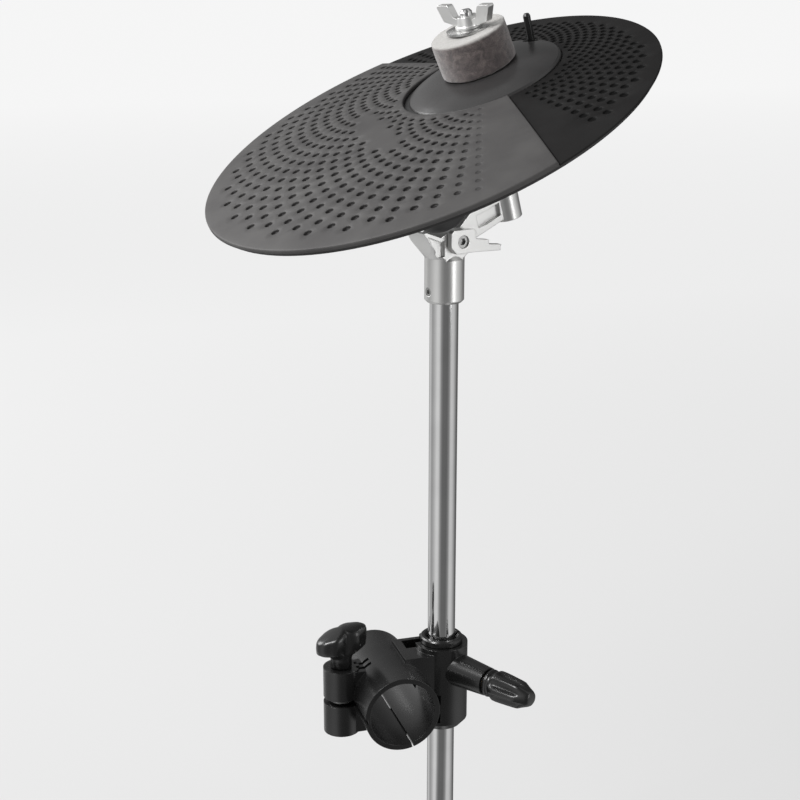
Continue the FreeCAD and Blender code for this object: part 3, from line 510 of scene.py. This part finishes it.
def skin(name, side, opening, gap, low, high, found, material, replaced):
    """One rubber skin, from 'low' to 'high' mm above the base plate, with its dimples."""
    loop = zone_outline(side, RIM_R, opening, gap)
    top_loop = inset(loop, 0.9)
    holes = []
    for x, y, radius, deep in found:
        ring = [(x + radius * math.cos(TURN * i / DIMPLE_SIDES),
                 y + radius * math.sin(TURN * i / DIMPLE_SIDES)) for i in range(DIMPLE_SIDES)]
        holes.append((x, y, radius, ring))
    spare = []
    cells = sorted_holes(holes)
    core = inset(loop, 2.6)
    for i in range(-45, 25):
        for j in range(-34, 35):
            x, y = (i + (j % 2) / 2) * GRID, j * GRID * 0.87
            if any(math.dist((x, y), h[:2]) < h[2] + 1.2 for h in near_holes(cells, x, y)):
                continue
            if inside((x, y), core):
                spare.append((x, y))
    bm = bmesh.new()
    # Painted shade: a per-vertex share of the dark dimple-floor colour.
    painted_light = bm.verts.layers.float.new("painted_light")
    verts, faces, place = triangulate(top_loop, holes, spare)
    top = [bm.verts.new((v.x, v.y, dome_height(v.x, v.y, high))) for v in verts]
    for face in faces:
        bm.faces.new([top[i] for i in face])
    used = len(top_loop)
    for (x, y, _, ring), (_, _, _, deep) in zip(holes, found):
        last = [top[place[used + i]] for i in range(DIMPLE_SIDES)]
        used += DIMPLE_SIDES
        for share, drop, inner in DIMPLE_PROFILE:
            new = []
            for px, py in ring:
                qx, qy = x + (px - x) * share, y + (py - y) * share
                vert = bm.verts.new((qx, qy, dome_height(qx, qy, high) - deep * drop))
                # Painted shade, darkest on the dimple floors and weaker in shallow dimples.
                vert[painted_light] = inner * min(1.0, deep / 0.7)
                new.append(vert)
            for i in range(DIMPLE_SIDES):
                j = (i + 1) % DIMPLE_SIDES
                bm.faces.new((last[i], last[j], new[j], new[i]))
            last = new
        bm.faces.new(last)
    sides = [top[place[i]] for i in range(len(top_loop))]
    thick = high - low
    for distance, height in ((0.45, high - 0.03 * thick), (0.15, high - 0.12 * thick),
                             (0.0, high - 0.3 * thick), (0.0, low + 0.1 * thick), (0.25, low)):
        edge = inset(loop, distance) if distance else loop
        new = [bm.verts.new((x, y, dome_height(x, y, height))) for x, y in edge]
        for i in range(len(new)):
            j = (i + 1) % len(new)
            bm.faces.new((sides[i], sides[j], new[j], new[i]))
        sides = new
    coarse = [p for k, p in enumerate(spare) if k % 3 == 0]
    verts, faces, place = triangulate(inset(loop, 0.25), [], coarse)
    new = {}
    for i, vert in enumerate(sides):
        new[place[i]] = vert
    for k, v in enumerate(verts):
        if k not in new:
            new[k] = bm.verts.new((v.x, v.y, dome_height(v.x, v.y, low)))
    for face in faces:
        bm.faces.new([new[i] for i in face])
    loose = [v for v in bm.verts if not v.link_faces]
    bmesh.ops.delete(bm, geom=loose, context="VERTS")
    to_metres(bm)
    put(name, bm, material, PAD, "cymbal_pad", replaced)


skin("playing_rubber", -1, 44.5, 0.0, 0.05, 2.4,
     dimples(-1, 49.0, 0.945, 10.5, 0.0535, 1.5), "playing", ["playing_skin"])
skin("rear_rubber", 1, 43.3, 0.2, 0.05, 0.9,
     dimples(1, 47.0, 0.93, 9.0, 0.0600, 0.66), "rear", ["rear_skin"])


# ---------------------------------------------------------------- felts and foam
def lathe(profile, sides, rough=0.0, seed=0.0, frequency=0.35):
    """A closed ring or disc turned about z from (radius, height) in mm; the profile is a closed
    loop unless it starts and ends on the axis."""
    bm = bmesh.new()
    rings = []
    for radius, height in profile:
        if radius < 1e-6:
            rings.append([bm.verts.new((0, 0, height))])
            continue
        rings.append([bm.verts.new((radius * math.cos(TURN * i / sides),
                                    radius * math.sin(TURN * i / sides), height))
                      for i in range(sides)])
    closed = profile[0][0] > 1e-6
    pairs = list(zip(rings, rings[1:] + rings[:1])) if closed else list(zip(rings, rings[1:]))
    for one, two in pairs:
        bridge(bm, one, two, sides)
    if rough:
        bm.normal_update()
        moves = [(v, v.normal.copy(), v.co.copy()) for v in bm.verts]
        for v, normal, co in moves:
            lump = noise.noise(co * frequency * 0.3 + Vector((seed, 0, 0)))
            tuft = noise.noise(co * frequency * 2.5 + Vector((0, seed, 0)))
            v.co = co + normal * (lump * 0.6 + tuft * 0.4) * rough
    to_metres(bm)
    return bm


def rounded(points, radius, steps=4):
    """Round each corner of a closed (radius, height) outline and add points along its runs."""
    made = []
    count = len(points)
    for i in range(count):
        before, here, after = (Vector(points[i - 1]), Vector(points[i]),
                               Vector(points[(i + 1) % count]))
        one = (before - here).normalized()
        two = (after - here).normalized()
        start, end = here + one * radius, here + two * radius
        for k in range(steps + 1):
            t = k / steps
            p = start * (1 - t) ** 2 + here * 2 * t * (1 - t) + end * t * t
            made.append((p.x, p.y))
        gap = (after - here).length - 2 * radius
        extra = int(gap / 1.0)
        far = after - two * radius
        for k in range(1, extra):
            p = end.lerp(far, k / extra)
            made.append((p.x, p.y))
    return made


def felt(name, inner, outer, low, high, matrix, node, painted_highlight_depth=0.0):
    """A thick felt ring with tufted faces; its topmost millimetres, as many as the last argument
    gives, carry a painted highlight that makes them paler.
    """
    outline = rounded([(inner, low), (outer, low), (outer, high), (inner, high)], 1.6)
    bm = lathe(outline, 120, rough=0.45, seed=inner)
    face = bm.verts.layers.float.new("painted_light")
    for v in bm.verts:
        # Painted highlight: share of the pale colour, rising over 0.7 mm towards the top face.
        pale = (v.co.z / MM - high + painted_highlight_depth) / 0.7
        v[face] = min(1.0, max(0.0, pale)) if painted_highlight_depth else 0.0
    made = put(name, bm, "felt", matrix, "cymbal_pad", [node])


felt("top_felt", 4.4, 20.5, 11.0, 31.6, PAD, "upper_felt", 1.2)
felt("seat_felt", 3.9, 12.6, -25.8, -17.8, STEM, "lower_felt")


def foam_disc():
    """The soft disc between the sensor and the base plate."""
    low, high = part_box("sensor_foam")
    middle = PAD.inverted() @ ((low + high) / 2)
    place = PAD @ Matrix.Translation((middle.x, middle.y, 0))
    outline = [(0, -0.56), (4, -0.56), (8, -0.56), (11.2, -0.56), (11.8, -0.2), (11.9, 0.1),
               (11.8, 0.4), (11.2, 0.76), (8, 0.76), (4, 0.76), (0, 0.76)]
    made = put("sensor_foam_disc", lathe(outline, 72), "foam", place, "cymbal_pad",
               ["sensor_foam"])


foam_disc()

# ---------------------------------------------------------------- rod and knobs
TUBE_WALL = 1.5


def chrome_tube():
    """The stand rod again, with a finer wall than the frame's and eased ends."""
    low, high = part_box("stand_rod")
    outer = (high.x - low.x) / 2 / MM
    inner = outer - TUBE_WALL
    foot, top = low.z / MM, high.z / MM
    heights = [foot + 0.5 + (top - foot - 1.0) * i / 40 for i in range(41)]
    outline = [(inner, foot), (outer - 0.5, foot)] + [(outer, z) for z in heights]
    outline += [(outer - 0.5, top), (inner, top)]
    outline += [(inner, z) for z in reversed(heights)]
    put("chrome_tube", lathe(outline, 96), "chrome", upright("stand_rod"), "rod",
        ["stand_rod"])


def lobed(stations, sides, reach):
    """A closed solid along z. Stations are (z, base radius, lobe size); reach(angle) shares out
    the lobes; the first and last stations are points on the axis."""
    bm = bmesh.new()
    rings = []
    for z, radius, lobe in stations:
        if radius + lobe < 1e-6:
            rings.append([bm.verts.new((0, 0, z))])
            continue
        ring = []
        for i in range(sides):
            angle = TURN * i / sides
            r = radius + lobe * reach(angle)
            ring.append(bm.verts.new((r * math.cos(angle), r * math.sin(angle), z)))
        rings.append(ring)
    for one, two in zip(rings, rings[1:]):
        bridge(bm, one, two, sides)
    return bm


def wing_knob():
    """A thumb knob whose two broad wings swell out of a round neck under a leaning crest."""
    def share(angle):
        return abs(math.cos(angle)) ** 2.2 - 0.12 * abs(math.sin(3 * angle)) ** 4
    stations = [(18.3, 0, 0), (18.3, 5.6, 0), (18.8, 6.2, 0), (24.0, 6.2, 0), (26.0, 6.6, 0.8),
                (27.4, 7.0, 3.8), (28.6, 7.2, 6.4), (30.0, 7.3, 7.8), (34.0, 7.3, 8.3),
                (38.0, 7.2, 8.3), (39.6, 6.9, 8.0), (40.6, 6.0, 7.0), (41.4, 4.2, 5.0),
                (42.0, 2.0, 2.4), (42.2, 0.8, 0.8), (42.2, 0, 0)]
    bm = lobed(stations, 96, share)
    for v in bm.verts:
        lift = max(0.0, v.co.z - 26.0) / 16.0
        v.co.z += lift * (v.co.x * 0.22 - abs(v.co.x) * 0.10)
        if v.co.z > 30:
            v.co.x += lift * 0.6
    to_metres(bm)
    put("thumb_knob", bm, "plastic", upright("pinch_bolt") @ turned(12.0, "Z"), "tube_knob",
        ["pinch_knob"])


BOSS_LEVEL = 11.5
BOSS_HEADING = -60.0


def fluted_knob():
    """The rod's lock knob: a ridged collar, a grip with deep flutes and a blunt nose."""
    def share(angle):
        return -abs(math.cos(3.0 * angle)) ** 3
    stations = [(37.0, 0, 0), (37.0, 6.4, 0), (37.4, 7.6, 0), (38.6, 8.1, 0), (39.8, 7.8, 0),
                (40.6, 7.0, 0), (41.6, 7.6, 0), (42.6, 8.6, 0.6), (43.6, 8.9, 1.6),
                (46.0, 8.9, 2.2), (50.0, 8.7, 2.3), (54.0, 8.4, 2.3), (58.0, 8.1, 2.2),
                (60.4, 7.8, 1.9), (61.4, 7.3, 1.2), (62.6, 6.6, 0.5), (66.2, 4.9, 0),
                (67.3, 4.2, 0), (68.0, 3.2, 0), (68.0, 0, 0)]
    bm = lobed(stations, 144, share)
    to_metres(bm)
    boss = upright("stand_rod", BOSS_LEVEL * MM) @ turned(BOSS_HEADING, "Z")
    put("fluted_knob", bm, "plastic", boss @ turned(90.0, "Y"), "rod_lock",
        ["rod_knob"])


chrome_tube()
wing_knob()
fluted_knob()

# ---------------------------------------------------------------- stage
FLOOR_HALF = 60
FLOOR_LEVEL = -0.158
FLOOR_GLOW = ((0.0, 0.57), (0.06, 0.62), (0.2, 0.71), (0.7, 0.80))
GLOW_REACH = 8.0
ROOM_GAIN = 1.25
ROOM = ((-180, 0.45), (-160, 0.62), (-143, 0.6), (-125, 0.24), (-110, 0.13), (-75, 0.12),
        (-59, 0.22), (-42, 0.55), (-23, 0.52), (-2, 0.3), (21, 0.1), (62, 0.1), (90, 0.3),
        (120, 0.55), (148, 0.3), (165, 0.36), (180, 0.45))

floor_mesh = bpy.data.meshes.new("floor")
floor_mesh.from_pydata([(-FLOOR_HALF, -FLOOR_HALF, 0), (FLOOR_HALF, -FLOOR_HALF, 0),
                        (FLOOR_HALF, FLOOR_HALF, 0), (-FLOOR_HALF, FLOOR_HALF, 0)],
                       [], [(0, 1, 2, 3)])
floor = bpy.data.objects.new("floor", floor_mesh)
floor.location = (0, 0, FLOOR_LEVEL)
bpy.context.scene.collection.objects.link(floor)


def surroundings(tree, way):
    """What polished metal sees of the room, by compass direction: pale windows and dark corners."""
    parts = add(tree, "ShaderNodeSeparateXYZ")
    tree.links.new(way, parts.inputs["Vector"])
    angle = add(tree, "ShaderNodeMath", operation="ARCTAN2")
    tree.links.new(parts.outputs["Y"], angle.inputs[0])
    tree.links.new(parts.outputs["X"], angle.inputs[1])
    share = add(tree, "ShaderNodeMapRange")
    share.inputs["From Min"].default_value = -math.pi
    share.inputs["From Max"].default_value = math.pi
    tree.links.new(angle.outputs["Value"], share.inputs["Value"])
    stops = [(degrees / 360 + 0.5, tone * ROOM_GAIN) for degrees, tone in ROOM]
    return ramp(tree, share.outputs["Result"], stops)


def seen_by_gloss(tree, shown, reflected, output):
    """Send one shader to the camera and to diffuse light, and another one to reflections."""
    path = add(tree, "ShaderNodeLightPath")
    mix = add(tree, "ShaderNodeMixShader")
    tree.links.new(path.outputs["Is Glossy Ray"], mix.inputs["Fac"])
    tree.links.new(shown, mix.inputs[1])
    tree.links.new(reflected, mix.inputs[2])
    tree.links.new(mix.outputs["Shader"], output)


# Painted light: the floor glows, brighter towards the far side, for the backdrop's gradient.
floor_material, tree, shader = new_material("pale_floor")
where = add(tree, "ShaderNodeTexCoord")
depth = add(tree, "ShaderNodeSeparateXYZ")
tree.links.new(where.outputs["Object"], depth.inputs["Vector"])
near_far = add(tree, "ShaderNodeMapRange")
near_far.inputs["From Min"].default_value = 0.0
near_far.inputs["From Max"].default_value = GLOW_REACH
tree.links.new(depth.outputs["Y"], near_far.inputs["Value"])
glow = ramp(tree, near_far.outputs["Result"], FLOOR_GLOW)
shader.inputs["Base Color"].default_value = (0.2, 0.2, 0.2, 1)
shader.inputs["Roughness"].default_value = 1.0
shader.inputs["Specular IOR Level"].default_value = 0.0
tree.links.new(glow, shader.inputs["Emission Color"])
shader.inputs["Emission Strength"].default_value = 1.0
mirrored = add(tree, "ShaderNodeEmission")
tree.links.new(surroundings(tree, where.outputs["Object"]), mirrored.inputs["Color"])
seen_by_gloss(tree, shader.outputs["BSDF"], mirrored.outputs["Emission"],
              tree.nodes["Material Output"].inputs["Surface"])
floor_mesh.materials.append(floor_material)


def area_light(name, place, target, size, power):
    """A square or oblong soft light in metres and watts, aimed at a target."""
    data = bpy.data.lights.new(name, "AREA")
    data.shape = "RECTANGLE"
    data.size, data.size_y = size
    data.energy = power
    light = bpy.data.objects.new(name, data)
    light.location = place
    light.visible_camera = False
    way = Vector(target) - Vector(place)
    light.rotation_euler = way.to_track_quat("-Z", "Y").to_euler()
    bpy.context.scene.collection.objects.link(light)


area_light("key", (-0.40, -0.10, 0.62), (-0.08, 0, 0.3), (0.2, 0.2), 2.8)
area_light("sheen", (-1.15, 1.05, 0.95), (-0.02, 0, 0.15), (0.8, 0.8), 14.0)
area_light("fill", (0.76, -0.95, 0.35), (0.03, 0, 0.15), (0.35, 0.8), 2.6)

WORLD_COLOUR = (0.95, 0.95, 0.95)
WORLD_STRENGTH = 0.62
world = bpy.data.worlds.new("studio")
bpy.context.scene.world = world
world.use_nodes = True
tree = world.node_tree
plain = tree.nodes["Background"]
plain.inputs["Color"].default_value = (*WORLD_COLOUR, 1)
plain.inputs["Strength"].default_value = WORLD_STRENGTH
where = add(tree, "ShaderNodeTexCoord")
room = add(tree, "ShaderNodeBackground")
tree.links.new(surroundings(tree, where.outputs["Generated"]), room.inputs["Color"])
seen_by_gloss(tree, plain.outputs["Background"], room.outputs["Background"],
              tree.nodes["World Output"].inputs["Surface"])
